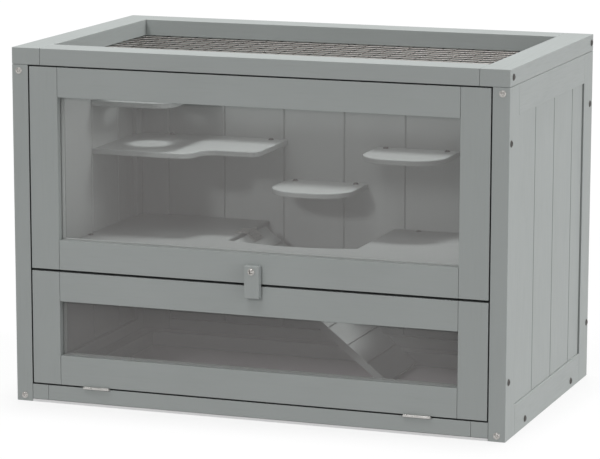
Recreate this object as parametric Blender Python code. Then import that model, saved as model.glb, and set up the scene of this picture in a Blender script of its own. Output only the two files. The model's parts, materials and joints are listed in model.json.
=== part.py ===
"""Two-storey hamster cage: a painted wooden case with acrylic front windows, a hinged wire-mesh
lid, a drop-down lower door held by a turn button, four shelves and a hinged ramp.

Frame: metres, +Z up, +X to the right, +Y from the front to the back. The origin is at the centre of
the footprint, on the surface that the cage stands on.
"""

import math

import bmesh
import bpy
from mathutils import Vector

# ---------------------------------------------------------------- driving dimensions
WIDTH = 0.600
DEPTH = 0.360
CASE_HEIGHT = 0.400
LID_HEIGHT = 0.420
GAP = 0.0003                # between pieces that touch
STOCK = 0.020               # thickness of every frame member
EDGE = 0.0005               # rounding of the frame members' arrises

POST_WIDTH = 0.038          # side panel's posts, seen from the side
SIDE_RAIL = 0.035           # side and back panels' rails
BACK_STILE = 0.035
BOARD_OUT = 0.002           # recess of the boarding from the outer face
BOARD_IN = 0.005            # recess of the boarding from the inner face
TONGUE = 0.0055             # how far the boarding's tongue enters the frame
TONGUE_THICK = 0.005
GROOVE_DEPTH = 0.0022       # V-grooves between the boards
GROOVE_HALF = 0.0013
SIDE_SEAMS = (0.1135, 0.194, 0.2745)
BACK_BOARD = 0.0796         # pitch of the back's boards
BACK_FIRST_SEAM = -0.1695

BOTTOM_BOARD = 0.003
BASE_TOP = 0.0212
BASE_STOCK = 0.020

FRONT_SIDE_GAP = 0.0016     # between the front panels and the posts
FRONT_STILE = 0.035
FRONT_RAIL = 0.035
UPPER_PANEL = (0.1607, 0.3987)
LOWER_DOOR = (0.0229, 0.1580)
PANE_THICK = 0.003
PANE_EDGE = 0.0045          # how far a pane enters its frame
PANE_CENTRE = 0.010         # pane's middle, behind the front face

LID_SIDE_RAIL = 0.035
LID_CROSS_RAIL = 0.040
MESH_EDGE = 0.010           # mesh lapped under the lid's rails
MESH_THICK = 0.0014
MESH_BAR = 0.0016
MESH_CELLS = (10, 6)

FLOOR_TOP = 0.170
FLOOR_THICK = 0.009
HOLE_X = (-0.109, 0.056)
HOLE_FRONT = 0.200
HOLE_BOW = 0.015            # the hole's front edge bows towards the door
BATTEN = 0.012

SHELF_THICK = 0.007
SHELF_SOFT = 0.0012
WAVE_SHELF_TOP = 0.274
HIGH_SHELF_TOP = 0.334
MIDDLE_SHELF_TOP = 0.2243
RIGHT_SHELF_TOP = 0.2712
SMALL_SHELF = (0.1055, 0.092, 0.040)     # width, depth, corner radius
SHELF_HOLE_RADIUS = 0.0275
SHELF_HOLE_Y = 0.259
CLEAT = 0.010

RAMP_ANGLE = math.radians(38.4)
RAMP_AXIS = (-0.104, 0.1716)            # x, z of the ramp's hinge pin
RAMP_START = 0.003
RAMP_LENGTH = 0.2576
RAMP_Y = (0.200, 0.313)
RAMP_THICK = 0.009
RAMP_DROP = 0.0016                      # ramp's upper face below the pin
TREAD_PITCH = 0.032
TREAD_COUNT = 7

BUTTON_WIDTH = 0.018
BUTTON_Z = (0.145, 0.1829)
BUTTON_PIVOT_Z = 0.1763
BUTTON_THICK = 0.009
BUTTON_SOFT = 0.0009
BUTTON_CLEARANCE = 0.0006
SCREW_RADIUS = 0.0043
SCREW_HEAD = 0.0025
SHANK_RADIUS = 0.0018
SHANK_REACH = 0.012         # how far the turn button's screw enters the rail
LID_SCREW = (0.0126, 0.4103)            # y, z of the screws through the lid's sides
LID_SCREW_RADIUS = 0.0039
LID_SCREW_HEAD = 0.0015
LID_SCREW_LENGTH = 0.045

HINGE_LENGTH = 0.032
HINGE_LEAF = 0.014
HINGE_PLATE = 0.0005
KNUCKLE_RADIUS = 0.0018
PIN_RADIUS = 0.0009
PIN_CLEARANCE = 0.0002
DOOR_AXIS = (-0.0022, 0.02205)          # y, z of the lower door's hinge pins
LID_AXIS = (DEPTH + 0.0024, 0.40015)    # y, z of the lid's hinge pins
DOOR_HINGE_X = 0.197
LID_HINGE_X = 0.190
RAMP_HINGE_Y = 0.264

HALF = WIDTH / 2
INNER = HALF - STOCK
FRONT_REACH = BUTTON_CLEARANCE + BUTTON_THICK + SCREW_HEAD
BACK_REACH = LID_AXIS[0] + KNUCKLE_RADIUS - DEPTH
CASE_Y = FRONT_REACH - (FRONT_REACH + DEPTH + BACK_REACH) / 2

# ---------------------------------------------------------------- finishes: colour, roughness, metallic
PAINT = ((0.47, 0.50, 0.48, 1.0), 0.55, 0.0)
PALE_BOARD = ((0.66, 0.62, 0.62, 1.0), 0.60, 0.0)
ACRYLIC = ((0.93, 0.95, 0.94, 0.25), 0.05, 0.0)
STEEL = ((0.62, 0.62, 0.60, 1.0), 0.30, 1.0)
WIRE = ((0.30, 0.29, 0.27, 1.0), 0.45, 1.0)


def clear_scene():
    for obj in list(bpy.data.objects):
        bpy.data.objects.remove(obj, do_unlink=True)


def own_material(name, finish):
    colour, roughness, metallic = finish
    material = bpy.data.materials.new(name + "_finish")
    material.use_nodes = True
    shader = material.node_tree.nodes["Principled BSDF"]
    shader.inputs["Base Color"].default_value = colour[:3] + (1.0,)
    shader.inputs["Alpha"].default_value = colour[3]
    shader.inputs["Roughness"].default_value = roughness
    shader.inputs["Metallic"].default_value = metallic
    return material


def add_empty(name, parent, at, turn=(0.0, 0.0, 0.0)):
    empty = bpy.data.objects.new(name, None)
    empty.parent = parent
    empty.location = at
    empty.rotation_euler = turn
    bpy.context.collection.objects.link(empty)
    return empty


def add_mesh(name, shape, parent, at, finish=None):
    """A closed bmesh becomes an object; with no finish it is a cutter or a joining piece."""
    bmesh.ops.recalc_face_normals(shape, faces=shape.faces)
    mesh = bpy.data.meshes.new(name)
    shape.to_mesh(mesh)
    shape.free()
    obj = bpy.data.objects.new(name, mesh)
    obj.parent = parent
    obj.location = at
    bpy.context.collection.objects.link(obj)
    if finish:
        mesh.materials.append(own_material(name, finish))
    else:
        obj.hide_render = True
        obj.display_type = "WIRE"
    return obj


def smooth_round(obj):
    obj.data.shade_smooth()
    obj.data.set_sharp_from_angle(angle=math.radians(35))


def soften(obj, width=EDGE, segments=2):
    bevel = obj.modifiers.new("soft_edges", "BEVEL")
    bevel.width = width
    bevel.segments = segments
    bevel.limit_method = "ANGLE"
    bevel.angle_limit = math.radians(40)


def combine(obj, tool, operation):
    boolean = obj.modifiers.new(operation.lower() + "_" + tool.name, "BOOLEAN")
    boolean.operation = operation
    boolean.object = tool
    boolean.solver = "EXACT"


def cut(obj, tool):
    combine(obj, tool, "DIFFERENCE")


def join(obj, tool):
    combine(obj, tool, "UNION")


def box_shape(size):
    shape = bmesh.new()
    bmesh.ops.create_cube(shape, size=1.0)
    bmesh.ops.scale(shape, vec=Vector(size), verts=shape.verts)
    return shape


def middle(low, high):
    return tuple((a + b) / 2 for a, b in zip(low, high))


def block(name, low, high, parent, finish=None):
    size = [b - a for a, b in zip(low, high)]
    return add_mesh(name, box_shape(size), parent, middle(low, high), finish)


def board(name, low, high, parent, finish=PAINT):
    obj = block(name, low, high, parent, finish)
    soften(obj)
    return obj


def prism_shape(outline, axis, length):
    """Extrudes a closed outline by length along an axis, centred on it. The outline's two
    coordinates are the other two axes in X, Y, Z order."""
    shape = bmesh.new()
    others = [i for i in range(3) if i != axis]
    verts = []
    for point in outline:
        spot = [0.0, 0.0, 0.0]
        spot[others[0]], spot[others[1]] = point
        spot[axis] = -length / 2
        verts.append(shape.verts.new(spot))
    face = shape.faces.new(verts)
    grown = bmesh.ops.extrude_face_region(shape, geom=[face])
    moved = [item for item in grown["geom"] if isinstance(item, bmesh.types.BMVert)]
    shift = Vector((0.0, 0.0, 0.0))
    shift[axis] = length
    bmesh.ops.translate(shape, vec=shift, verts=moved)
    return shape


def arc(centre, radius, start, end, steps):
    """Points on a circle from start to end, in degrees."""
    points = []
    for i in range(steps + 1):
        angle = math.radians(start + (end - start) * i / steps)
        points.append((centre[0] + radius * math.cos(angle), centre[1] + radius * math.sin(angle)))
    return points


def slab(name, outline, top, thick, parent, finish=PAINT):
    """A horizontal board with a free outline."""
    obj = add_mesh(name, prism_shape(outline, 2, thick), parent, (0.0, 0.0, top - thick / 2), finish)
    soften(obj, SHELF_SOFT)
    return obj


def cylinder_shape(radius, length, axis, sides=24):
    outline = arc((0.0, 0.0), radius, 0.0, 360.0, sides)[:-1]
    return prism_shape(outline, axis, length)


# ---------------------------------------------------------------- framed panels
def groove_tool(name, low, high, parent):
    """The slot in which a pane or a boarding's tongue sits, cut from all four frame members."""
    grown_low = [a - GAP for a in low]
    grown_high = [b + GAP for b in high]
    return block(name, grown_low, grown_high, parent)


def boarding(name, size, seams, across, parent, at):
    """Vertical boards as one panel, with a V-groove at each seam on both faces and a tongue all
    round. Its thickness runs along the axis that across isn't (0 for X, 1 for Y)."""
    width, thick, height = size
    half, flank = width / 2, thick / 2
    front, back = [], []
    for seam in seams:
        front += [
            (seam - GROOVE_HALF, -flank),
            (seam, -flank + GROOVE_DEPTH),
            (seam + GROOVE_HALF, -flank),
        ]
        back += [
            (seam - GROOVE_HALF, flank),
            (seam, flank - GROOVE_DEPTH),
            (seam + GROOVE_HALF, flank),
        ]
    outline = [(-half, -flank)] + front + [(half, -flank), (half, flank)] + back[::-1] + [(-half, flank)]
    if across == 1:
        outline = [(y, x) for x, y in outline]
    panel = add_mesh(name, prism_shape(outline, 2, height), parent, at, PAINT)
    reach = [width / 2 + TONGUE, TONGUE_THICK / 2, height / 2 + TONGUE]
    if across == 1:
        reach[0], reach[1] = reach[1], reach[0]
    low = [c - r for c, r in zip(at, reach)]
    high = [c + r for c, r in zip(at, reach)]
    join(panel, block("tongue_of_" + name, low, high, parent))
    return groove_tool("slot_for_" + name, low, high, parent)


def add_side_panel(name, side, case):
    """Posts, rails and boarding of one end of the case; side is -1 for left, 1 for right."""
    inner, outer = sorted((side * INNER, side * HALF))
    rail_y = (POST_WIDTH + GAP, DEPTH - POST_WIDTH - GAP)
    boards = STOCK - BOARD_OUT - BOARD_IN
    middle_x = side * (HALF - BOARD_OUT - boards / 2)
    middle_y = DEPTH / 2
    middle_z = CASE_HEIGHT / 2
    size = (rail_y[1] - rail_y[0], boards, CASE_HEIGHT - 2 * SIDE_RAIL - 2 * GAP)
    seams = [seam - middle_y for seam in SIDE_SEAMS]
    slot = boarding(name + "_boards", size, seams, 1, case, (middle_x, middle_y, middle_z))
    members = {
        "front_post": ((0.0, POST_WIDTH), (0.0, CASE_HEIGHT)),
        "rear_post": ((DEPTH - POST_WIDTH, DEPTH), (0.0, CASE_HEIGHT)),
        "bottom_rail": (rail_y, (0.0, SIDE_RAIL)),
        "top_rail": (rail_y, (CASE_HEIGHT - SIDE_RAIL, CASE_HEIGHT)),
    }
    for part, (ys, zs) in members.items():
        member = board(f"{name}_{part}", (inner, ys[0], zs[0]), (outer, ys[1], zs[1]), case)
        cut(member, slot)


def add_back_panel(case):
    """Stiles, rails and boarding between the two end panels."""
    reach = INNER - GAP
    ys = (DEPTH - STOCK, DEPTH)
    rail_x = reach - BACK_STILE - GAP
    boards = STOCK - BOARD_OUT - BOARD_IN
    middle_y = DEPTH - BOARD_OUT - boards / 2
    size = (2 * rail_x, boards, CASE_HEIGHT - 2 * SIDE_RAIL - 2 * GAP)
    seams = [BACK_FIRST_SEAM + BACK_BOARD * i for i in range(6)]
    slot = boarding("back_boards", size, seams, 0, case, (0.0, middle_y, CASE_HEIGHT / 2))
    members = {
        "left_stile": ((-reach, -reach + BACK_STILE), (0.0, CASE_HEIGHT)),
        "right_stile": ((reach - BACK_STILE, reach), (0.0, CASE_HEIGHT)),
        "bottom_rail": ((-rail_x, rail_x), (0.0, SIDE_RAIL)),
        "top_rail": ((-rail_x, rail_x), (CASE_HEIGHT - SIDE_RAIL, CASE_HEIGHT)),
    }
    for part, (xs, zs) in members.items():
        member = board(f"back_{part}", (xs[0], ys[0], zs[0]), (xs[1], ys[1], zs[1]), case)
        cut(member, slot)


def add_glazed_frame(name, zs, parent, shift=(0.0, 0.0, 0.0)):
    """A wooden frame with an acrylic pane in a groove all round. shift is the parent's place in
    the case, so that the frame can hang on an empty at its hinge."""
    dx, dy, dz = shift
    reach = INNER - FRONT_SIDE_GAP
    rail_x = reach - FRONT_STILE - GAP
    low_z, high_z = zs[0] - dz, zs[1] - dz
    ys = (-dy, STOCK - dy)
    window = (low_z + FRONT_RAIL, high_z - FRONT_RAIL)
    pane_y = PANE_CENTRE - dy
    edge = PANE_EDGE
    pane_low = (-rail_x - edge, pane_y - PANE_THICK / 2, window[0] - edge)
    pane_high = (rail_x + edge, pane_y + PANE_THICK / 2, window[1] + edge)
    slot = groove_tool("slot_for_" + name + "_window", pane_low, pane_high, parent)
    block(name + "_window", pane_low, pane_high, parent, ACRYLIC)
    members = {
        "left_stile": ((-reach, -reach + FRONT_STILE), (low_z, high_z)),
        "right_stile": ((reach - FRONT_STILE, reach), (low_z, high_z)),
        "bottom_rail": ((-rail_x, rail_x), (low_z, window[0])),
        "top_rail": ((-rail_x, rail_x), (window[1], high_z)),
    }
    for part, (xs, zs_part) in members.items():
        low = (xs[0], ys[0], zs_part[0])
        high = (xs[1], ys[1], zs_part[1])
        cut(board(f"{name}_{part}", low, high, parent), slot)


# ---------------------------------------------------------------- base, floor and shelves
def add_base(case):
    reach = INNER - GAP
    back = DEPTH - STOCK - GAP
    block("bottom_board", (-reach, 0.0, 0.0), (reach, back, BOTTOM_BOARD), case, PALE_BOARD)
    inner = reach - BASE_STOCK
    zs = (BOTTOM_BOARD + GAP, BASE_TOP)
    members = {
        "base_left_rail": ((-reach, -inner), (0.0, back)),
        "base_right_rail": ((inner, reach), (0.0, back)),
        "base_front_rail": ((-inner + GAP, inner - GAP), (0.0, BASE_STOCK)),
        "base_rear_rail": ((-inner + GAP, inner - GAP), (back - BASE_STOCK, back)),
    }
    for name, (xs, ys) in members.items():
        board(name, (xs[0], ys[0], zs[0]), (xs[1], ys[1], zs[1]), case)


def wall_corner(side):
    """The outline round the rear post and the back stile, from the boarding of one end wall to
    the boarding of the back wall."""
    wall = INNER + BOARD_IN - GAP
    face = INNER - GAP
    stile = INNER - GAP - BACK_STILE - GAP
    post = DEPTH - POST_WIDTH - GAP
    back = DEPTH - STOCK - GAP
    boards = DEPTH - STOCK + BOARD_IN - GAP
    steps = [(wall, post), (face, post), (face, back), (stile, back), (stile, boards)]
    return [(side * x, y) for x, y in steps]


def add_upper_floor(case):
    """The floor between the storeys, notched for the ramp at the back."""
    wall = INNER + BOARD_IN - GAP
    face = INNER - GAP
    front = STOCK + GAP
    post = POST_WIDTH + GAP
    boards = DEPTH - STOCK + BOARD_IN - GAP
    half_hole = (HOLE_X[1] - HOLE_X[0]) / 2
    hole_centre = sum(HOLE_X) / 2
    radius = (half_hole ** 2 + HOLE_BOW ** 2) / (2 * HOLE_BOW)
    swing = math.degrees(math.asin(half_hole / radius))
    bow = arc((hole_centre, HOLE_FRONT - HOLE_BOW + radius), radius, 270 + swing, 270 - swing, 12)
    outline = [(-face, front), (face, front), (face, post), (wall, post)]
    outline += wall_corner(1) + [(HOLE_X[1], boards)] + bow + [(HOLE_X[0], boards)]
    outline += wall_corner(-1)[::-1] + [(-wall, post), (-face, post)]
    slab("upper_floor", outline, FLOOR_TOP, FLOOR_THICK, case)

    top = FLOOR_TOP - FLOOR_THICK - GAP
    ys = (POST_WIDTH + 0.002, DEPTH - POST_WIDTH - 0.002)
    for name, side in (("left", -1), ("right", 1)):
        near, far = sorted((side * (wall - BATTEN), side * wall))
        board(f"floor_batten_{name}", (near, ys[0], top - BATTEN), (far, ys[1], top), case)


def add_cleat(name, xs, shelf_top, case):
    """The batten screwed to the back wall under a shelf."""
    top = shelf_top - SHELF_THICK - GAP
    back = DEPTH - STOCK + BOARD_IN - GAP
    board(name, (xs[0], back - CLEAT, top - CLEAT), (xs[1], back, top), case)


def add_wave_shelf(case):
    """The long shelf on the left, deep at the wall and narrower on the right."""
    wall = -(INNER + BOARD_IN - GAP)
    back = DEPTH - STOCK + BOARD_IN - GAP
    deep, narrow, right = 0.193, 0.2335, -0.0845
    turn, corner = 0.020, 0.014
    swap = -0.155
    outline = [(wall, deep)]
    outline += arc((swap - turn, deep + turn), turn, 270, 360, 8)
    outline += arc((swap + turn, narrow - turn), turn, 180, 90, 8)
    outline += arc((right - corner, narrow + corner), corner, 270, 360, 6)
    outline += [(right, back)] + wall_corner(-1)[::-1]
    slab("wave_shelf", outline, WAVE_SHELF_TOP, SHELF_THICK, case)
    add_cleat("wave_shelf_cleat", (-0.235, -0.115), WAVE_SHELF_TOP, case)


def add_high_shelf(case):
    """The top left shelf, with a round way through to the one below."""
    wall = -(INNER + BOARD_IN - GAP)
    back = DEPTH - STOCK + BOARD_IN - GAP
    front, right, corner = 0.191, -0.182, 0.026
    outline = [(wall, front)] + arc((right - corner, front + corner), corner, 270, 360, 8)
    outline += [(right, back)] + wall_corner(-1)[::-1]
    shelf = slab("high_shelf", outline, HIGH_SHELF_TOP, SHELF_THICK, case)
    centre = ((wall + right) / 2, SHELF_HOLE_Y, HIGH_SHELF_TOP - SHELF_THICK / 2)
    drill = cylinder_shape(SHELF_HOLE_RADIUS, 4 * SHELF_THICK, 2, 32)
    cut(shelf, add_mesh("hole_in_high_shelf", drill, case, centre))


def add_small_shelf(name, centre_x, top, case):
    """A round-fronted step on the back wall."""
    width, depth, corner = SMALL_SHELF
    back = DEPTH - STOCK + BOARD_IN - GAP
    left, right, front = centre_x - width / 2, centre_x + width / 2, back - depth
    outline = arc((left + corner, front + corner), corner, 180, 270, 10)
    outline += arc((right - corner, front + corner), corner, 270, 360, 10)
    outline += [(right, back), (left, back)]
    slab(name, outline, top, SHELF_THICK, case)
    add_cleat(name + "_cleat", (left + 0.010, right - 0.028), top, case)


# ---------------------------------------------------------------- hinges, turn button and ramp
def hinge_half(name, parent, role, along, leaf_side, plate_at, at=(0.0, 0.0, 0.0)):
    """One leaf of a butt hinge, at its pin. along is the pin's axis, leaf_side the direction in
    which the leaf leaves the pin, and plate_at the height of the leaf's underside over the pin.
    The fixed leaf has two knuckles with a bore; the moving one has the middle knuckle and the pin."""
    third = HINGE_LENGTH / 3
    slack = 0.0003
    reach_axis, reach_sign = leaf_side
    rise_axis = 3 - along - reach_axis
    near = 0.0003
    low, high = [0.0] * 3, [0.0] * 3
    low[along], high[along] = -HINGE_LENGTH / 2, HINGE_LENGTH / 2
    span = sorted((reach_sign * near, reach_sign * (KNUCKLE_RADIUS + HINGE_LEAF)))
    low[reach_axis], high[reach_axis] = span
    low[rise_axis], high[rise_axis] = plate_at, plate_at + HINGE_PLATE
    leaf = block(name, [a + b for a, b in zip(low, at)], [a + b for a, b in zip(high, at)], parent, STEEL)
    spots = (-third, third) if role == "fixed" else (0.0,)
    gaps = (0.0,) if role == "fixed" else (-third, third)
    clear = KNUCKLE_RADIUS + slack
    for i, spot in enumerate(gaps):
        size = [0.0] * 3
        size[along], size[reach_axis], size[rise_axis] = third + 2 * slack, 2 * clear, 2 * clear
        room = list(at)
        room[along] += spot
        cut(leaf, add_mesh(f"room_{i}_in_{name}", box_shape(size), parent, room))
    for i, spot in enumerate(spots):
        place = list(at)
        place[along] += spot
        length = third - (2 * slack if role == "moving" else 0.0)
        knuckle = cylinder_shape(KNUCKLE_RADIUS, length, along, 20)
        join(leaf, add_mesh(f"knuckle_{i}_of_{name}", knuckle, parent, place))
    if role == "fixed":
        bore = cylinder_shape(PIN_RADIUS + PIN_CLEARANCE, 2 * HINGE_LENGTH, along, 16)
        cut(leaf, add_mesh("bore_in_" + name, bore, parent, at))
    else:
        pin = cylinder_shape(PIN_RADIUS, HINGE_LENGTH + 0.0016, along, 16)
        join(leaf, add_mesh("pin_of_" + name, pin, parent, at))
    smooth_round(leaf)
    return leaf


def add_turn_button(case):
    """The wooden latch and the screw on which it turns. The empty is on the screw's axis, and the
    screw itself stays fixed in the window's bottom rail."""
    pivot = add_empty("turn_button_axis", case, (0.0, 0.0, BUTTON_PIVOT_Z))
    back = -BUTTON_CLEARANCE
    front = back - BUTTON_THICK
    low = (-BUTTON_WIDTH / 2, front, BUTTON_Z[0] - BUTTON_PIVOT_Z)
    high = (BUTTON_WIDTH / 2, back, BUTTON_Z[1] - BUTTON_PIVOT_Z)
    button = block("turn_button", low, high, pivot, PAINT)
    soften(button, BUTTON_SOFT)
    drill = cylinder_shape(SHANK_RADIUS + GAP, 3 * BUTTON_THICK, 1, 20)
    cut(button, add_mesh("bore_in_turn_button", drill, pivot, (0.0, (front + back) / 2, 0.0)))

    pilot = cylinder_shape(SHANK_RADIUS + GAP, 2 * (SHANK_REACH + GAP), 1, 20)
    rail = bpy.data.objects["front_bottom_rail"]
    cut(rail, add_mesh("pilot_hole_for_screw", pilot, case, (0.0, 0.0, BUTTON_PIVOT_Z)))

    head_back = front - GAP
    spot = (0.0, head_back, BUTTON_PIVOT_Z)
    screw = add_mesh("turn_button_screw", screw_head_shape(SCREW_RADIUS, SCREW_HEAD), case, spot, STEEL)
    stem_front = head_back - SCREW_HEAD / 2
    stem = cylinder_shape(SHANK_RADIUS, SHANK_REACH - stem_front, 1, 20)
    place = (0.0, (SHANK_REACH + stem_front) / 2, BUTTON_PIVOT_Z)
    join(screw, add_mesh("stem_of_turn_button_screw", stem, case, place))
    for i in range(2):
        bar = box_shape((SCREW_RADIUS * 1.2, SCREW_HEAD, SCREW_RADIUS * 0.22))
        place = (0.0, front - SCREW_HEAD, BUTTON_PIVOT_Z)
        slot = add_mesh(f"slot_{i}_of_screw", bar, case, place)
        slot.rotation_euler = (0.0, math.radians(20 + 90 * i), 0.0)
        cut(screw, slot)
    smooth_round(screw)


def screw_head_shape(radius, height):
    """A pan head turned about Y: flat at Y = 0 and domed towards -Y."""
    shape = bmesh.new()
    profile = [(0.0, 0.0), (radius, 0.0), (radius, -0.4 * height)]
    profile += [(0.90 * radius, -0.68 * height), (0.62 * radius, -0.88 * height), (0.0, -height)]
    verts = [shape.verts.new((x, y, 0.0)) for x, y in profile]
    edges = [shape.edges.new(pair) for pair in zip(verts, verts[1:])]
    bmesh.ops.spin(
        shape, geom=verts + edges, cent=(0, 0, 0), axis=(0, 1, 0), angle=2 * math.pi, steps=24
    )
    bmesh.ops.remove_doubles(shape, verts=shape.verts, dist=0.000005)
    return shape


def add_lid_screw(name, side, axis):
    """The screw through a side rail of the lid into the end of its front rail."""
    dy, dz = LID_AXIS
    y, z = LID_SCREW[0] - dy, LID_SCREW[1] - dz
    head = screw_head_shape(LID_SCREW_RADIUS, LID_SCREW_HEAD)
    screw = add_mesh(name, head, axis, (side * (HALF + GAP), y, z), STEEL)
    screw.rotation_euler = (0.0, 0.0, side * math.pi / 2)
    outer = HALF + GAP + LID_SCREW_HEAD / 2
    place = (side * (outer - LID_SCREW_LENGTH / 2), y, z)
    stem = cylinder_shape(SHANK_RADIUS, LID_SCREW_LENGTH, 0, 16)
    join(screw, add_mesh("stem_of_" + name, stem, axis, place))
    drill = cylinder_shape(SHANK_RADIUS + GAP, LID_SCREW_LENGTH + 4 * GAP, 0, 16)
    pilot = add_mesh("pilot_hole_for_" + name, drill, axis, place)
    cut(bpy.data.objects["lid_left_rail" if side < 0 else "lid_right_rail"], pilot)
    cut(bpy.data.objects["lid_front_rail"], pilot)
    smooth_round(screw)


def add_ramp(case):
    """The ramp hangs from its hinge at the hole's left edge and rests on the bottom board."""
    axis = add_empty(
        "ramp_axis", case, (RAMP_AXIS[0], RAMP_HINGE_Y, RAMP_AXIS[1]), (0.0, RAMP_ANGLE, 0.0)
    )
    low = (RAMP_START, RAMP_Y[0] - RAMP_HINGE_Y, -RAMP_DROP - RAMP_THICK)
    high = (RAMP_LENGTH, RAMP_Y[1] - RAMP_HINGE_Y, -RAMP_DROP)
    ramp = board("ramp", low, high, axis)
    width = RAMP_Y[1] - RAMP_Y[0]
    middle_y = sum(RAMP_Y) / 2 - RAMP_HINGE_Y
    for i in range(TREAD_COUNT):
        spot = (TREAD_PITCH * (i + 1), middle_y, -RAMP_DROP)
        kerf = box_shape((0.0018, width * 1.2, 0.0026))
        cut(ramp, add_mesh(f"tread_groove_{i + 1}", kerf, axis, spot))
    hinge_half("ramp_hinge_moving", axis, "moving", 1, (0, 1), GAP - RAMP_DROP)
    fixed = add_empty("ramp_hinge_pin", case, (RAMP_AXIS[0], RAMP_HINGE_Y, RAMP_AXIS[1]))
    plate = FLOOR_TOP + GAP - RAMP_AXIS[1]
    hinge_half("ramp_hinge_fixed", fixed, "fixed", 1, (0, -1), plate)


# ---------------------------------------------------------------- door and lid
def add_lower_door(case):
    """The lower window drops forward on two hinges in the gap above the base."""
    axis = add_empty("lower_door_axis", case, (0.0, DOOR_AXIS[0], DOOR_AXIS[1]))
    shift = (0.0, DOOR_AXIS[0], DOOR_AXIS[1])
    add_glazed_frame("door", LOWER_DOOR, axis, shift)
    near = 0.00015
    for name, x in (("left", -DOOR_HINGE_X), ("right", DOOR_HINGE_X)):
        hinge_half(f"door_hinge_{name}_moving", axis, "moving", 0, (1, 1), near, (x, 0.0, 0.0))
        spot = (x, DOOR_AXIS[0], DOOR_AXIS[1])
        hinge_half(f"door_hinge_{name}_fixed", case, "fixed", 0, (1, 1), -near - HINGE_PLATE, spot)


def add_lid(case):
    """A frame over the case with wire mesh under it, hinged along the back."""
    axis = add_empty("lid_axis", case, (0.0, LID_AXIS[0], LID_AXIS[1]))
    dy, dz = LID_AXIS
    zs = (CASE_HEIGHT + GAP - dz, LID_HEIGHT - dz)
    inner = HALF - LID_SIDE_RAIL
    members = {
        "lid_left_rail": ((-HALF, -inner), (0.0, DEPTH)),
        "lid_right_rail": ((inner, HALF), (0.0, DEPTH)),
        "lid_front_rail": ((-inner + GAP, inner - GAP), (0.0, LID_CROSS_RAIL)),
        "lid_back_rail": ((-inner + GAP, inner - GAP), (DEPTH - LID_CROSS_RAIL, DEPTH)),
    }
    for name, (xs, ys) in members.items():
        board(name, (xs[0], ys[0] - dy, zs[0]), (xs[1], ys[1] - dy, zs[1]), axis)
    half_x = inner + MESH_EDGE
    lows = (-half_x, LID_CROSS_RAIL - MESH_EDGE - dy)
    highs = (half_x, DEPTH - LID_CROSS_RAIL + MESH_EDGE - dy)
    add_wire_grid("lid_mesh", lows, highs, zs[0] - GAP - MESH_THICK, axis)
    add_lid_screw("lid_left_screw", -1, axis)
    add_lid_screw("lid_right_screw", 1, axis)
    for name, x in (("left", -LID_HINGE_X), ("right", LID_HINGE_X)):
        plate = DEPTH + GAP - LID_AXIS[0]
        hinge_half(f"lid_hinge_{name}_moving", axis, "moving", 0, (2, 1), plate, (x, 0.0, 0.0))
        spot = (x, LID_AXIS[0], LID_AXIS[1])
        hinge_half(f"lid_hinge_{name}_fixed", case, "fixed", 0, (2, -1), plate, spot)


def add_wire_grid(name, lows, highs, bottom, parent):
    """A flat grid of bars with square openings, as one closed solid."""
    shape = bmesh.new()
    lines = []
    for low, high, cells in zip(lows, highs, MESH_CELLS):
        pitch = (high - low - MESH_BAR) / cells
        stops = []
        for i in range(cells + 1):
            stops += [low + pitch * i, low + pitch * i + MESH_BAR]
        lines.append(stops)
    xs, ys = lines
    corners = [[shape.verts.new((x, y, 0.0)) for y in ys] for x in xs]
    for i in range(len(xs) - 1):
        for j in range(len(ys) - 1):
            if i % 2 == 0 or j % 2 == 0:
                square = (corners[i][j], corners[i + 1][j], corners[i + 1][j + 1], corners[i][j + 1])
                shape.faces.new(square)
    grown = bmesh.ops.extrude_face_region(shape, geom=list(shape.faces))
    top = [item for item in grown["geom"] if isinstance(item, bmesh.types.BMVert)]
    bmesh.ops.translate(shape, vec=(0.0, 0.0, MESH_THICK), verts=top)
    add_mesh(name, shape, parent, (0.0, 0.0, bottom), WIRE)


def build():
    clear_scene()
    case = add_empty("case_frame", None, (0.0, CASE_Y, 0.0))
    add_side_panel("left", -1, case)
    add_side_panel("right", 1, case)
    add_back_panel(case)
    add_base(case)
    add_glazed_frame("front", UPPER_PANEL, case)
    add_upper_floor(case)
    add_wave_shelf(case)
    add_high_shelf(case)
    add_small_shelf("middle_shelf", -0.0315, MIDDLE_SHELF_TOP, case)
    add_small_shelf("right_shelf", 0.0865, RIGHT_SHELF_TOP, case)
    add_ramp(case)
    add_turn_button(case)
    add_lower_door(case)
    add_lid(case)


build()
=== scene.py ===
"""Looks for the hamster cage: painted wood grain, clear panes, wire mesh, screws and a studio."""
import json
import math

import bmesh
import bpy
from mathutils import Matrix, Vector


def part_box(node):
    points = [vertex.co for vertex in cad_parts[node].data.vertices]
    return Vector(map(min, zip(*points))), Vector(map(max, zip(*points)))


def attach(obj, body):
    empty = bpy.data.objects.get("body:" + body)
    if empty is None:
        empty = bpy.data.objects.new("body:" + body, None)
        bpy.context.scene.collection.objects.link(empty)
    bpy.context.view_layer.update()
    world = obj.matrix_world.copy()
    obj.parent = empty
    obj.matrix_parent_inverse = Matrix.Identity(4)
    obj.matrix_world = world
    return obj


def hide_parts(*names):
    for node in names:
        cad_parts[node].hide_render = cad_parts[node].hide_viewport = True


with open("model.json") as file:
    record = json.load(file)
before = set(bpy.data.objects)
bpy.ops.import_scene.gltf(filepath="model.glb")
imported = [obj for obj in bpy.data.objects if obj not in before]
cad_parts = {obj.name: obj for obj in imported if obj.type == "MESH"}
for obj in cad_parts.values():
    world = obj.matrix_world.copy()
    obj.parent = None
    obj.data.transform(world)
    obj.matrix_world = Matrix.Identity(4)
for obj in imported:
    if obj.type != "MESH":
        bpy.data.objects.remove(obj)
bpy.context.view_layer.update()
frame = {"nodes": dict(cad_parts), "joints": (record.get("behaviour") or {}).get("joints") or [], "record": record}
NODES = frame["nodes"]

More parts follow.
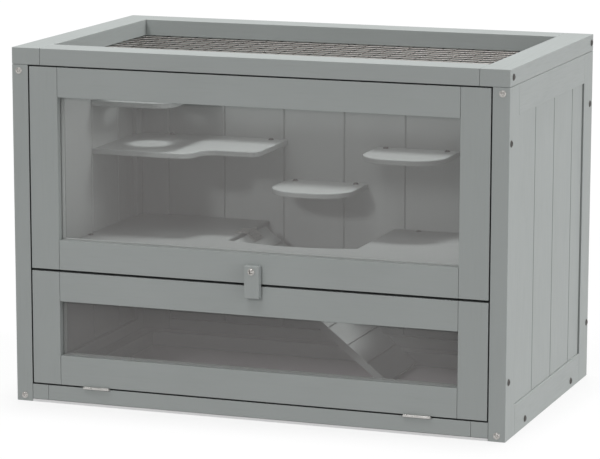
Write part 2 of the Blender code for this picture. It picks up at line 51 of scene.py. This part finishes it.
# The case's planes, read from the frame. All lengths are in metres.
POST_LOW, POST_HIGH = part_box("left_front_post")
REAR_LOW, REAR_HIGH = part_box("right_rear_post")
FRONT_Y = POST_LOW.y
BACK_Y = REAR_HIGH.y
LEFT_X = POST_LOW.x
RIGHT_X = REAR_HIGH.x
CASE_TOP = POST_HIGH.z


# ---------------------------------------------------------------- node helpers
BLACK = (0.0, 0.0, 0.0)
WHITE = (1.0, 1.0, 1.0)
EVEN = (1.0, 1.0, 1.0)      # a texture scale that stretches nothing


class Nodes:
    """A short way to build one material's node tree."""

    def __init__(self, name):
        self.material = bpy.data.materials.new(name)
        self.material.use_nodes = True
        self.tree = self.material.node_tree
        self.shader = self.tree.nodes["Principled BSDF"]

    def set(self, **values):
        """Sets the shader's sockets to fixed values."""
        for key, value in values.items():
            self.shader.inputs[key.replace("_", " ")].default_value = value

    def shade(self, **outputs):
        """Links outputs to the shader's sockets."""
        for key, output in outputs.items():
            self.link(output, self.shader.inputs[key.replace("_", " ")])

    def add(self, kind, **values):
        node = self.tree.nodes.new(kind)
        for key, value in values.items():
            setattr(node, key, value)
        return node

    def link(self, source, target):
        self.tree.links.new(source, target)

    def feed(self, socket, value):
        """Sets a socket to a number, or links an output to it."""
        if isinstance(value, (int, float)):
            socket.default_value = value
        else:
            self.link(value, socket)

    def axes(self):
        """X, Y and Z of the object coordinates, which are the frame's: every object sits at the origin."""
        where = self.add("ShaderNodeTexCoord")
        axes = self.add("ShaderNodeSeparateXYZ")
        self.link(where.outputs["Object"], axes.inputs[0])
        return axes.outputs

    def noise(self, stretch, scale, detail, roughness, distortion=0.0):
        """Noise in object coordinates, which are scaled by stretch first."""
        where = self.add("ShaderNodeTexCoord")
        mapping = self.add("ShaderNodeMapping")
        mapping.inputs["Scale"].default_value = stretch
        self.link(where.outputs["Object"], mapping.inputs["Vector"])
        noise = self.add("ShaderNodeTexNoise")
        noise.inputs["Scale"].default_value = scale
        noise.inputs["Detail"].default_value = detail
        noise.inputs["Roughness"].default_value = roughness
        noise.inputs["Distortion"].default_value = distortion
        self.link(mapping.outputs["Vector"], noise.inputs["Vector"])
        return noise.outputs["Fac"]

    def ramp(self, factor, *stops):
        """A colour ramp between two (position, colour) stops."""
        ramp = self.add("ShaderNodeValToRGB")
        for element, (position, colour) in zip(ramp.color_ramp.elements, stops):
            element.position = position
            element.color = (*colour, 1.0)
        self.link(factor, ramp.inputs["Fac"])
        return ramp.outputs["Color"]

    def grey(self, factor):
        """A factor as a grey colour."""
        return self.ramp(factor, (0.0, BLACK), (1.0, WHITE))

    def mix(self, factor, first, second, blend="MIX"):
        mix = self.add("ShaderNodeMix", data_type="RGBA", blend_type=blend)
        self.feed(mix.inputs["Factor"], factor)
        self.link(first, mix.inputs["A"])
        self.link(second, mix.inputs["B"])
        return mix.outputs["Result"]

    def multiply(self, first, second, amount=1.0):
        """Multiplies two colours, by as much as amount says."""
        return self.mix(amount, first, second, "MULTIPLY")

    def span(self, factor, low, high, start=0.0, end=1.0):
        """Maps factor from start..end to low..high."""
        spread = self.add("ShaderNodeMapRange")
        for key, value in (("From Min", start), ("From Max", end), ("To Min", low), ("To Max", high)):
            spread.inputs[key].default_value = value
        self.link(factor, spread.inputs["Value"])
        return spread.outputs["Result"]

    def maths(self, operation, first, second=0.0):
        node = self.add("ShaderNodeMath", operation=operation)
        self.feed(node.inputs[0], first)
        self.feed(node.inputs[1], second)
        return node.outputs[0]

    def bump(self, height, strength, distance):
        bump = self.add("ShaderNodeBump")
        bump.inputs["Strength"].default_value = strength
        bump.inputs["Distance"].default_value = distance
        self.link(height, bump.inputs["Height"])
        return bump.outputs["Normal"]


def toned(colour, factor):
    return tuple(channel * factor for channel in colour)


def stretched(along, share):
    """A texture scale that draws a pattern out along one axis."""
    scale = list(EVEN)
    scale[along] = share
    return scale


# ---------------------------------------------------------------- painted wood
PAINT = (0.385, 0.410, 0.402)

# Noise settings: scale, detail, roughness and distortion.
GRAIN = (420.0, 5.0, 0.62, 0.4)
FIGURE = (38.0, 3.0, 0.55, 1.2)
PAINT_CLOUD = (9.0, 3.0, 0.5)
ORANGE_PEEL = (1500.0, 2.0, 0.5)

GRAIN_DRAW = 0.055          # texture scale along the timber, which draws the grain out
FIGURE_DRAW = 0.12

GAP_SHADE = 0.22            # lightness of the painted shade on the faces inside the gaps round the front panels
# the lower door's own faces in those gaps get a lighter painted shade
DOOR_GAP_SHADE = 0.55
GAP_DEPTHS = (0.0004, 0.0199)   # where those faces start and end, behind the front
GAP_SLACK = 0.0002          # how far outside a gap a face still counts as its own
POST_MARGIN = 0.0003        # kept clear beside the posts

GROOVE_FLOOR = 0.0004       # half the width of a V-groove's floor
GROOVE_REACH = 0.0014       # half the width of a V-groove
END_SHADE = 0.30            # lightness of the painted shade at the boarding's end, against the rear post

FLOOR_PAINTED_SHADE = 0.70           # the upper floor's paint, darker than the rest: painted shade over the whole floor

# Boarding: the axis across the boards, the first seam, the seams' pitch, the lightness of the painted shade in
# the grooves, the middle of the boards' thickness, and the end where painted shade marks the joint.
SIDE_SEAMS = {
    "axis": 1, "first": FRONT_Y + 0.1135, "pitch": 0.0805, "groove_shade": 0.5, "middle": 0.2915,
    "end": REAR_LOW.y,
}
BACK_SEAMS = {"axis": 0, "first": -0.1695, "pitch": 0.0796, "groove_shade": 0.6, "middle": 0.1755}


def painted_wood(name, along, seams=None, gap_shade=None, tone=1.0):
    """Satin grey paint on timber: the grain telegraphs faintly through it, along one axis.

    seams describes boarding and puts painted shade in its grooves and at its end joint, gap_shade paints
    shade on the faces inside the gaps round the front panels, and tone is the paint's lightness.
    """
    m = Nodes(name)
    grain = m.noise(stretched(along, GRAIN_DRAW), *GRAIN)
    figure = m.noise(stretched(along, FIGURE_DRAW), *FIGURE)
    cloud = m.noise(EVEN, *PAINT_CLOUD)
    peel = m.noise(EVEN, *ORANGE_PEEL)
    base = m.ramp(cloud, (0.30, toned(PAINT, 0.98 * tone)), (0.70, toned(PAINT, 1.018 * tone)))
    veins = m.ramp(figure, (0.40, (0.975, 0.977, 0.975)), (0.60, WHITE))
    pores = m.ramp(grain, (0.30, (0.945, 0.945, 0.94)), (0.47, WHITE))
    colour = m.multiply(m.multiply(base, veins, 0.6), pores, 0.6)
    # painted shade: in the boarding's grooves and end joint, and on the faces inside the front gaps
    if seams:
        colour = m.multiply(colour, seam_painted_shade(m, **seams))
    if gap_shade:
        colour = m.multiply(colour, gap_painted_shade(m, gap_shade))
    height = m.maths("ADD", m.maths("MULTIPLY", grain, 0.8), m.maths("MULTIPLY", peel, 0.35))
    m.shade(
        Base_Color=colour,
        Roughness=m.span(grain, 0.58, 0.46, 0.3, 0.7),
        Normal=m.bump(height, 0.16, 0.0004),
    )
    m.set(Specular_IOR_Level=0.42)
    return m.material


def within(m, place, start, end):
    """1 where place lies between start and end or close to them, else 0."""
    off_centre = m.maths("ABSOLUTE", m.maths("SUBTRACT", place, (start + end) / 2))
    return m.maths("LESS_THAN", off_centre, (end - start) / 2 + GAP_SLACK)


def gap_painted_shade(m, gap_shade):
    """Painted shade: a grey factor that darkens the faces inside the gaps round the front panels."""
    axes = m.axes()
    sideways = m.maths("ABSOLUTE", axes["X"])
    stile_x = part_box("front_right_stile")[1].x
    post_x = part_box("right_front_post")[0].x
    at_side = within(m, sideways, stile_x, post_x)
    at_side = m.maths("MULTIPLY", at_side, m.maths("LESS_THAN", axes["Z"], CASE_TOP))
    at_height = 0.0
    for below, above in (("base_front_rail", "door_bottom_rail"), ("door_top_rail", "front_bottom_rail"),
                         ("front_top_rail", "lid_front_rail")):
        between = within(m, axes["Z"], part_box(below)[1].z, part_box(above)[0].z)
        at_height = m.maths("MAXIMUM", between, at_height)
    at_height = m.maths("MULTIPLY", at_height, m.maths("LESS_THAN", sideways, post_x - POST_MARGIN))
    inside = m.maths("MAXIMUM", at_side, at_height)
    for test, depth in zip(("GREATER_THAN", "LESS_THAN"), GAP_DEPTHS):
        inside = m.maths("MULTIPLY", inside, m.maths(test, axes["Y"], FRONT_Y + depth))
    return m.grey(m.span(inside, 1.0, gap_shade))


def seam_painted_shade(m, axis, first, pitch, groove_shade, middle, end=None):
    """Painted shade: a grey factor that darkens the V-grooves and the end joint, on the boarding's outer side."""
    axes = m.axes()
    to_seam = m.maths("PINGPONG", m.maths("SUBTRACT", axes[axis], first), pitch / 2)
    factor = m.span(to_seam, groove_shade, 1.0, GROOVE_FLOOR, GROOVE_REACH)
    if end is not None:
        to_end = m.maths("ABSOLUTE", m.maths("SUBTRACT", axes[axis], end))
        joint = m.span(to_end, END_SHADE, 1.0, GROOVE_REACH, 2 * GROOVE_REACH)
        factor = m.maths("MULTIPLY", factor, joint)
    indoors = m.maths("LESS_THAN", m.maths("ABSOLUTE", axes[1 - axis]), middle)
    return m.grey(m.maths("MAXIMUM", factor, indoors))


def timber(name, gap_shade=None):
    """The painted wood of one kind of piece, with its grain along X, Y or Z, and painted shade in the front gaps
    when gap_shade is given.
    """
    return [painted_wood(f"{name}_along_{axis}", i, gap_shade=gap_shade) for i, axis in enumerate("xyz")]


# ---------------------------------------------------------------- other materials
PANE_HAZE = 0.11
BRUSHED = (1.0, 1.0, 0.1)   # texture scale of the steel's brushing
EDGE_DEPTH = 0.0004         # the bottom board's front edge, behind the front


def pale_board():
    """The bottom board: a pale, slightly pink coated sheet with fine fibres, and a front edge painted near white
    as a painted highlight.
    """
    m = Nodes("pale_board")
    fibres = m.noise((1.0, 0.25, 1.0), 700.0, 4.0, 0.6)
    cloud = m.noise(EVEN, 14.0, 4.0, 0.55)
    coating = m.ramp(cloud, (0.3, (0.75, 0.70, 0.725)), (0.7, (0.80, 0.745, 0.775)))
    flecks = m.ramp(fibres, (0.36, (0.95, 0.94, 0.94)), (0.52, WHITE))
    # painted highlight: the front edge is painted near white in place of the floor's light on it
    edge = m.maths("LESS_THAN", m.axes()["Y"], FRONT_Y + EDGE_DEPTH)
    painted_edge_light = m.ramp(cloud, (0.3, (0.86, 0.86, 0.86)), (0.7, (0.90, 0.90, 0.90)))
    m.shade(
        Base_Color=m.mix(edge, m.multiply(coating, flecks, 0.8), painted_edge_light),
        Roughness=m.span(fibres, 0.62, 0.5, 0.3, 0.7),
        Normal=m.bump(fibres, 0.08, 0.0003),
    )
    return m.material


def clear_acrylic():
    """A clear pane with a faint warm haze, and wipe marks in its gloss."""
    m = Nodes("clear_acrylic")
    smears = m.noise((1.0, 1.0, 0.35), 22.0, 4.0, 0.6, 1.5)
    m.shade(
        Base_Color=m.ramp(smears, (0.3, (0.80, 0.765, 0.755)), (0.7, (0.86, 0.825, 0.815))),
        Roughness=m.span(smears, 0.03, 0.09, 0.35, 0.75),
    )
    m.set(Alpha=PANE_HAZE, Specular_IOR_Level=1.0)
    return m.material


def plated_steel(name, colour, roughness):
    """Zinc-plated steel: brushed along one way, with cloudy plating."""
    m = Nodes(name)
    brush = m.noise(BRUSHED, 2600.0, 3.0, 0.6)
    cloud = m.noise(EVEN, 320.0, 4.0, 0.6)
    m.shade(
        Base_Color=m.ramp(cloud, (0.3, toned(colour, 0.92)), (0.7, toned(colour, 1.04))),
        Roughness=m.span(cloud, roughness - 0.07, roughness + 0.12, 0.3, 0.7),
        Normal=m.bump(brush, 0.12, 0.0002),
    )
    m.set(Metallic=1.0)
    return m.material


def studio_floor():
    """A pale floor that shines by itself and hardly bounces light."""
    m = Nodes("studio_floor")
    mottle = m.noise(EVEN, 1.5, 2.0, 0.5)
    m.shade(Base_Color=m.ramp(mottle, (0.3, (0.12, 0.12, 0.12)), (0.7, (0.123, 0.123, 0.123))))
    m.set(Roughness=0.9, Emission_Color=(1.0, 1.0, 1.0, 1.0), Emission_Strength=0.80)
    return m.material


# WOOD and DOOR_WOOD carry painted shade on the faces inside the front gaps; LID_WOOD has none
WOOD = timber("painted_wood", GAP_SHADE)
DOOR_WOOD = timber("painted_door", DOOR_GAP_SHADE)
LID_WOOD = timber("painted_lid")
UPPER_FLOOR = painted_wood("painted_floor_board", 0, tone=FLOOR_PAINTED_SHADE)
SIDE_BOARDS = painted_wood("side_boarding", 2, SIDE_SEAMS)
BACK_BOARDS = painted_wood("back_boarding", 2, BACK_SEAMS)
BOARD = pale_board()
ACRYLIC = clear_acrylic()
HINGE = plated_steel("hinge_steel", (0.56, 0.55, 0.53), 0.30)
SCREW = plated_steel("screw_steel", (0.52, 0.505, 0.485), 0.30)
# steel painted near black for the screws in the ends and lid and for the fixings: a painted reflection and painted
# shade
PAINTED_DARK_SCREW = plated_steel("screw_steel_painted_dark", (0.11, 0.105, 0.10), 0.38)
WIRE = plated_steel("mesh_wire", (0.38, 0.355, 0.335), 0.34)
# the crossing wires: the same wire painted near black, a painted shade
WIRE_PAINTED_SHADE = plated_steel("mesh_wire_painted_shade", (0.07, 0.066, 0.062), 0.42)

FINISHES = {
    "bottom_board": BOARD, "clear_acrylic": ACRYLIC, "hinge_steel": HINGE, "wire_mesh": WIRE,
}


def cad_finish(name, slot):
    """A CAD node's material: the grain of painted pieces runs along their longest side."""
    if slot in FINISHES:
        return FINISHES[slot]
    if name == "upper_floor":
        return UPPER_FLOOR
    if name.endswith("boards"):
        return BACK_BOARDS if name.startswith("back") else SIDE_BOARDS
    low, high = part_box(name)
    size = list(high - low)
    wood = {"door": DOOR_WOOD, "lid": LID_WOOD}.get(name.split("_")[0], WOOD)
    return wood[size.index(max(size))]


def finish_cad_nodes():
    slots = {entry["node"]: entry["material_slot"] for entry in frame["record"]["subparts"]}
    for name, obj in NODES.items():
        material = cad_finish(name, slots[name])
        for slot in obj.material_slots:
            slot.material = material
        if not obj.material_slots:
            obj.data.materials.append(material)


finish_cad_nodes()


# ---------------------------------------------------------------- lid mesh
SHARP_ANGLE = math.radians(40)
WIRE_RADIUS = 0.00055       # the crossing wires
LONG_WIRE_RADIUS = 0.0008
LONG_WIRE_SIDES = 8
WIRE_SIDES = 6
MESH_CELLS = (29, 16)       # along X and along Y
STAPLE_WIDTH = 0.0022
STAPLE_LENGTH = 0.0110
STAPLE_HEIGHT = 0.0006
STAPLE_PITCH = 0.072


def finish_piece(name, shape, material, slot, body, *stands_for):
    """Turns shape into a piece of the model, which rides on body."""
    bmesh.ops.recalc_face_normals(shape, faces=shape.faces)
    mesh = bpy.data.meshes.new(name)
    shape.to_mesh(mesh)
    shape.free()
    mesh.shade_smooth()
    mesh.set_sharp_from_angle(angle=SHARP_ANGLE)
    mesh.materials.append(material)
    obj = bpy.data.objects.new(name, mesh)
    bpy.context.collection.objects.link(obj)
    if stands_for:
        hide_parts(*stands_for)
    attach(obj, body)


def add_bar(shape, low, high, axis, radius, sides):
    """A straight wire of the mesh from low to high, with closed ends."""
    rings = []
    others = [i for i in range(3) if i != axis]
    for end in (low, high):
        ring = []
        for i in range(sides):
            angle = 2 * math.pi * (i + 0.5) / sides
            point = list(end)
            point[others[0]] += radius * math.cos(angle)
            point[others[1]] += radius * math.sin(angle)
            ring.append(shape.verts.new(point))
        rings.append(ring)
    for i in range(sides):
        j = (i + 1) % sides
        shape.faces.new((rings[0][i], rings[0][j], rings[1][j], rings[1][i]))
    shape.faces.new(rings[0][::-1])
    shape.faces.new(rings[1])


def add_wires(name, axis, z, radius, sides, material):
    """The mesh's parallel wires along X (axis 0) or along Y (axis 1), with their centres at height z."""
    low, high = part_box("lid_mesh")
    across = 1 - axis
    edge = LONG_WIRE_RADIUS
    shape = bmesh.new()
    for i in range(MESH_CELLS[across] + 1):
        place = low[across] + edge + (high[across] - low[across] - 2 * edge) * i / MESH_CELLS[across]
        ends = [[corner.x, corner.y, z] for corner in (low, high)]
        for end in ends:
            end[across] = place
        add_bar(shape, *ends, axis, radius, sides)
    finish_piece(name, shape, material, "wire_mesh", "lid", "lid_mesh")


def make_lid_mesh():
    """Welded wire: the long wires run from side to side, on top of the thinner crossing ones, which are painted
    near black as painted shade.
    """
    low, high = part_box("lid_mesh")
    add_wires("mesh_long_wires", 0, high.z - LONG_WIRE_RADIUS, LONG_WIRE_RADIUS, LONG_WIRE_SIDES, WIRE)
    add_wires("mesh_crossing_wires", 1, low.z + WIRE_RADIUS, WIRE_RADIUS, WIRE_SIDES, WIRE_PAINTED_SHADE)


def add_staple(shape, centre, across):
    """A flat-crowned staple over the mesh's edge, under a rail, with its crown across that edge."""
    size = [STAPLE_WIDTH, STAPLE_WIDTH, STAPLE_HEIGHT]
    size[across] = STAPLE_LENGTH
    corners = bmesh.ops.create_cube(shape, size=1.0)["verts"]
    bmesh.ops.scale(shape, vec=size, verts=corners)
    bmesh.ops.translate(shape, vec=centre, verts=corners)
    edges = {edge for vert in corners for edge in vert.link_edges}
    bmesh.ops.bevel(shape, geom=list(edges), offset=STAPLE_HEIGHT / 3, segments=2, affect="EDGES")


def add_staples():
    """Staples all round the mesh, on the rails' undersides."""
    low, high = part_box("lid_mesh")
    inset = STAPLE_LENGTH / 2
    shape = bmesh.new()
    for along, across in ((0, 1), (1, 0)):
        count = int((high[along] - low[along]) / STAPLE_PITCH)
        for i in range(count):
            for edge in (low[across] + inset, high[across] - inset):
                centre = [0.0, 0.0, low.z - STAPLE_HEIGHT / 2]
                centre[along] = low[along] + (high[along] - low[along]) * (i + 0.5) / count
                centre[across] = edge
                add_staple(shape, centre, across)
    finish_piece("mesh_staples", shape, HINGE, "hinge_steel", "lid")


make_lid_mesh()
add_staples()


# ---------------------------------------------------------------- screws
HEAD_STEPS = 32
HEAD_RINGS = (0.10, 0.16, 0.24, 0.34, 0.46, 0.56, 0.64, 0.72, 0.79, 0.82, 0.96, 1.0)    # per head radius
PROUD = 0.00005             # clearance under a screw's head
ROLL_STEP = 23              # degrees per letter of a screw's name, so that their recesses don't line up

# The head's profile: radii are shares of its radius and heights are shares of its height.
FLANGE = 0.80               # the dome starts here, inside the flange
FLANGE_TOP = 0.34
RIM = 0.97
RIM_TOP = 0.22
DOME_FOOT = 0.42
RECESS_ARM = 0.15           # half-width of the cross recess
RECESS_SIDE = 0.05          # width of its sloping sides
RECESS_REACH = 0.62
RECESS_END = 0.12           # length of its sloping ends
RECESS_DEPTH = 0.62
RECESS_FLOOR = 0.1          # the least that stays under it

# Radius and height of the heads.
CASE_SCREW = (0.0040, 0.0017)
BUTTON_SCREW = (0.0042, 0.0025)
SHELF_FIXING = (0.0036, 0.0024)
FLOOR_FIXING = (0.0036, 0.0014)
LEAF_SCREW = (0.0023, 0.0006)

# Screws in the posts' fronts and backs (in from the side, height), in the end walls (behind the front,
# height) and in the upper floor (from the left side, behind the front).
POST_SCREWS = ((0.010, 0.0069), (0.0085, 0.3930))
SIDE_SCREWS = (
    (0.0100, 0.067), (0.0070, 0.337), (0.0805, 0.0095), (0.2830, 0.0095), (0.3528, 0.0676), (0.3490, 0.337),
)
FLOOR_FIXINGS = ((0.020, 0.175), (0.020, 0.030), (0.580, 0.175), (0.580, 0.030), (0.390, 0.336))
LID_REAR_SCREW = 0.0085     # in front of the back

# Each shelf's fixings: in from its left and right ends.
SHELF_INSETS = {
    "high_shelf": (0.048, 0.018), "wave_shelf": (0.048, 0.019),
    "middle_shelf": (0.013, 0.013), "right_shelf": (0.013, 0.013),
}
SHELF_FIXING_DEPTH = 0.0095     # in front of a shelf's back edge

LEAF_SCREW_SIDE = 0.0095    # from a leaf's middle, along its pin
LEAF_SCREW_INSET = 0.0055   # in from a lid hinge's free edge
RAMP_ANGLE = math.radians(38.4)     # the ramp's slope at rest


def head_height(x, y, height):
    """The domed top of a screw's head, per radius, with its cross recess."""
    r = math.hypot(x, y)
    top = height * (DOME_FOOT + (1 - DOME_FOOT) * math.sqrt(max(0.0, 1 - (r / FLANGE) ** 2)))
    if r > FLANGE:
        top = height * (FLANGE_TOP if r < RIM else RIM_TOP)
    near, far = sorted((abs(x), abs(y)))
    inside = max(0.0, min(1.0, (RECESS_ARM + RECESS_SIDE - near) / RECESS_SIDE))
    inside *= max(0.0, min(1.0, (RECESS_REACH - far) / RECESS_END))
    return top - inside * min(RECESS_DEPTH * height, top - RECESS_FLOOR * height)


def screw_head(radius, height):
    """A pan head about Z, standing on Z = 0: a flange, a dome and a cross recess."""
    shape = bmesh.new()
    apex = shape.verts.new((0, 0, head_height(0, 0, height)))
    rings = []
    for fraction in HEAD_RINGS:
        ring = []
        for i in range(HEAD_STEPS):
            angle = 2 * math.pi * i / HEAD_STEPS
            x, y = fraction * math.cos(angle), fraction * math.sin(angle)
            ring.append(shape.verts.new((radius * x, radius * y, head_height(x, y, height))))
        rings.append(ring)
    rings.append([shape.verts.new((v.co.x, v.co.y, 0.0)) for v in rings[-1]])
    for i in range(HEAD_STEPS):
        j = (i + 1) % HEAD_STEPS
        shape.faces.new((apex, rings[0][i], rings[0][j]))
        for inner, outer in zip(rings, rings[1:]):
            shape.faces.new((inner[i], outer[i], outer[j], inner[j]))
    shape.faces.new(rings[-1][::-1])
    return shape


def add_screw(name, place, facing, size, body, material=SCREW, stands_for=()):
    """A screw whose head stands on the surface at place and faces along facing."""
    shape = screw_head(*size)
    facing = Vector(facing)
    turn = facing.to_track_quat("Z", "Y").to_matrix().to_4x4()
    roll = Matrix.Rotation(math.radians(len(name) * ROLL_STEP % 90), 4, "Z")
    spot = Matrix.Translation(Vector(place) + facing.normalized() * PROUD)
    bmesh.ops.transform(shape, matrix=spot @ turn @ roll, verts=shape.verts)
    finish_piece(name, shape, material, "hinge_steel", body, *stands_for)


def add_case_screws():
    """The screws that hold the panels to the posts, and the lid's rails together."""
    for label, sign, wall in (("left", -1, LEFT_X), ("right", 1, RIGHT_X)):
        outwards = (sign, 0, 0)
        for i, (inset, z) in enumerate(POST_SCREWS):
            x = wall - sign * inset
            add_screw(f"{label}_post_front_screw_{i + 1}", (x, FRONT_Y, z), (0, -1, 0), CASE_SCREW, "case")
            add_screw(f"{label}_post_back_screw_{i + 1}", (x, BACK_Y, z), (0, 1, 0), CASE_SCREW, "case")
        for i, (y, z) in enumerate(SIDE_SCREWS):
            place = (wall, FRONT_Y + y, z)
            add_screw(f"{label}_side_screw_{i + 1}", place, outwards, CASE_SCREW, "case", PAINTED_DARK_SCREW)
        node = f"lid_{label}_screw"
        low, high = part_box(node)
        middle = (low + high) / 2
        place = (wall, middle.y, middle.z)
        add_screw(f"lid_{label}_front_screw_head", place, outwards, CASE_SCREW, "lid", PAINTED_DARK_SCREW, [node])
        place = (wall, BACK_Y - LID_REAR_SCREW, middle.z)
        add_screw(f"lid_{label}_rear_screw", place, outwards, CASE_SCREW, "lid", PAINTED_DARK_SCREW)


def add_button_screw():
    """The head on the turn button's shank."""
    low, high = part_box("turn_button_screw")
    button_low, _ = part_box("turn_button")
    place = ((low.x + high.x) / 2, button_low.y, (low.z + high.z) / 2)
    add_screw("turn_button_screw_head", place, (0, -1, 0), BUTTON_SCREW, "case",
              stands_for=["turn_button_screw"])


def add_shelf_fixings():
    """Two pan heads near the back edge of each shelf, and five in the upper floor."""
    for shelf, (left, right) in SHELF_INSETS.items():
        low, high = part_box(shelf)
        for i, x in enumerate((low.x + left, high.x - right)):
            place = (x, high.y - SHELF_FIXING_DEPTH, high.z)
            add_screw(f"{shelf}_fixing_{i + 1}", place, (0, 0, 1), SHELF_FIXING, "case", PAINTED_DARK_SCREW)
    _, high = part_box("upper_floor")
    for i, (x, y) in enumerate(FLOOR_FIXINGS):
        place = (LEFT_X + x, FRONT_Y + y, high.z)
        add_screw(f"upper_floor_fixing_{i + 1}", place, (0, 0, 1), FLOOR_FIXING, "case", PAINTED_DARK_SCREW)


def add_lid_leaf_screws():
    """Two small screws in each leaf of the lid's hinges."""
    for side in ("left", "right"):
        for part, body in (("fixed", "case"), ("moving", "lid")):
            low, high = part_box(f"lid_hinge_{side}_{part}")
            middle = (low.x + high.x) / 2
            z = low.z + LEAF_SCREW_INSET if part == "fixed" else high.z - LEAF_SCREW_INSET
            for i, x in enumerate((middle - LEAF_SCREW_SIDE, middle + LEAF_SCREW_SIDE)):
                name = f"lid_hinge_{side}_{part}_screw_{i + 1}"
                add_screw(name, (x, low.y + 0.0005, z), (0, 1, 0), LEAF_SCREW, body)


def add_ramp_leaf_screws():
    """Two small screws in each leaf of the ramp's hinge: one leaf lies on the floor, one on the ramp."""
    low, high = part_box("ramp_hinge_fixed")
    middle = (low.y + high.y) / 2
    for i, y in enumerate((middle - LEAF_SCREW_SIDE, middle + LEAF_SCREW_SIDE)):
        place = (low.x + 0.0050, y, low.z + 0.0007)
        add_screw(f"ramp_hinge_fixed_screw_{i + 1}", place, (0, 0, 1), LEAF_SCREW, "case")
    pin = next(Vector(joint["pos_m"]) for joint in frame["joints"] if joint["name"] == "ramp_lift")
    along = Vector((math.cos(RAMP_ANGLE), 0.0, -math.sin(RAMP_ANGLE)))
    out = Vector((math.sin(RAMP_ANGLE), 0.0, math.cos(RAMP_ANGLE)))
    for i, y in enumerate((-LEAF_SCREW_SIDE, LEAF_SCREW_SIDE)):
        place = pin + along * 0.0085 + out * -0.0008 + Vector((0.0, y, 0.0))
        add_screw(f"ramp_hinge_moving_screw_{i + 1}", place, out, LEAF_SCREW, "ramp")


add_case_screws()
add_button_screw()
add_shelf_fixings()
add_lid_leaf_screws()
add_ramp_leaf_screws()


# ---------------------------------------------------------------- studio
FLOOR_REACH = 40.0
WORLD_STRENGTH = 0.32

# The suns: name, where the light comes from, strength and spread in degrees.
SUNS = (
    ("overhead", (0.0, 0.09, 1.0), 2.40, 14.0),
    ("from_above_front", (-0.12, -0.45, 1.0), 0.55, 26.0),
    ("from_front", (-0.17, -1.0, 0.42), 0.56, 5.0),
    ("from_right", (0.93, 0.14, 0.40), 0.74, 12.0),
    ("right_wall", (1.0, -0.15, 0.12), 1.20, 50.0),
)

# The camera: its place from the case's lower left front corner, and its angles in degrees.
CAMERA_PLACE = (1.5133, -3.2122, 0.8457)
CAMERA_DOWN = 11.23
CAMERA_LEFT = 20.26
CAMERA_LENS = 183.9
CAMERA_SHIFT = (0.0387, 0.0860)


def add_stage():
    mesh = bpy.data.meshes.new("studio_floor")
    reach = FLOOR_REACH
    corners = [(-reach, -reach, 0), (reach, -reach, 0), (reach, reach, 0), (-reach, reach, 0)]
    mesh.from_pydata(corners, [], [(0, 1, 2, 3)])
    mesh.materials.append(studio_floor())
    floor = bpy.data.objects.new("studio_floor", mesh)
    floor.visible_diffuse = False
    bpy.context.collection.objects.link(floor)


def add_sun(name, direction, strength, spread):
    """A distant soft light; direction is where the light comes from."""
    light = bpy.data.lights.new(name, "SUN")
    light.energy = strength
    light.angle = math.radians(spread)
    obj = bpy.data.objects.new(name, light)
    obj.rotation_euler = Vector(direction).to_track_quat("Z", "Y").to_euler()
    bpy.context.collection.objects.link(obj)


def add_world():
    """Even soft light from all round."""
    world = bpy.data.worlds.new("studio_air")
    world.use_nodes = True
    background = world.node_tree.nodes["Background"]
    background.inputs["Color"].default_value = (1.0, 1.0, 1.0, 1.0)
    background.inputs["Strength"].default_value = WORLD_STRENGTH
    bpy.context.scene.world = world


def add_camera():
    camera = bpy.data.cameras.new("camera")
    camera.sensor_width = 36.0
    camera.lens = CAMERA_LENS
    camera.shift_x, camera.shift_y = CAMERA_SHIFT
    camera.clip_end = 200.0
    obj = bpy.data.objects.new("camera", camera)
    obj.location = Vector((LEFT_X, FRONT_Y, 0.0)) + Vector(CAMERA_PLACE)
    obj.rotation_euler = (math.radians(90 - CAMERA_DOWN), 0.0, math.radians(CAMERA_LEFT))
    bpy.context.collection.objects.link(obj)
    bpy.context.scene.camera = obj


add_stage()
add_world()
for sun in SUNS:
    add_sun(*sun)
add_camera()
bpy.context.scene.view_settings.view_transform = "Standard"
